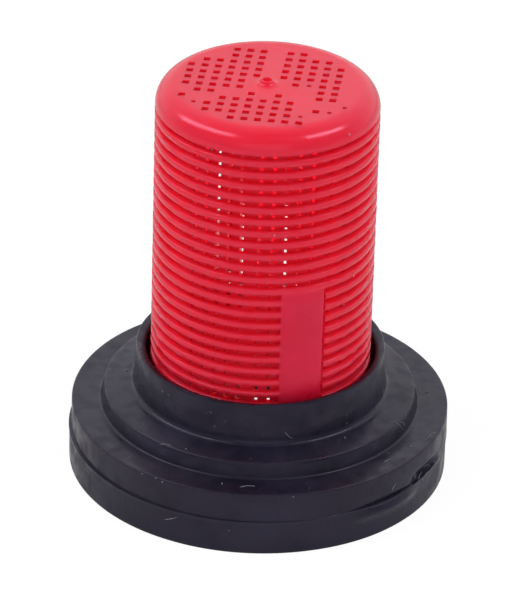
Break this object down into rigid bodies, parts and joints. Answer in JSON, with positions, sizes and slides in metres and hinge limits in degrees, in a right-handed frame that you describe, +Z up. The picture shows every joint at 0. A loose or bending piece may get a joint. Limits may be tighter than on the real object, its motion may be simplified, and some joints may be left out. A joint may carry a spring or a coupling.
{
  "type": "filter nozzle",
  "caption": "Small perforated plastic strainer cup with fine ribs and a holed cap, seated in a stepped black rubber gasket.",
  "frame": {"origin": "centre of the gasket's flat bottom face", "axes": "+Z up the strainer's axis, towards its closed cap; -Y is the side that faces the viewer"},
  "size_m": [0.0153, 0.0152, 0.017],
  "materials": {
    "red_plastic": "satin gloss moulded plastic",
    "black_rubber": "matt rubber with a faint sheen"
  },
  "bodies": {
    "root": {"strainer": "red_plastic", "gasket": "black_rubber"}
  },
  "joints": []
}
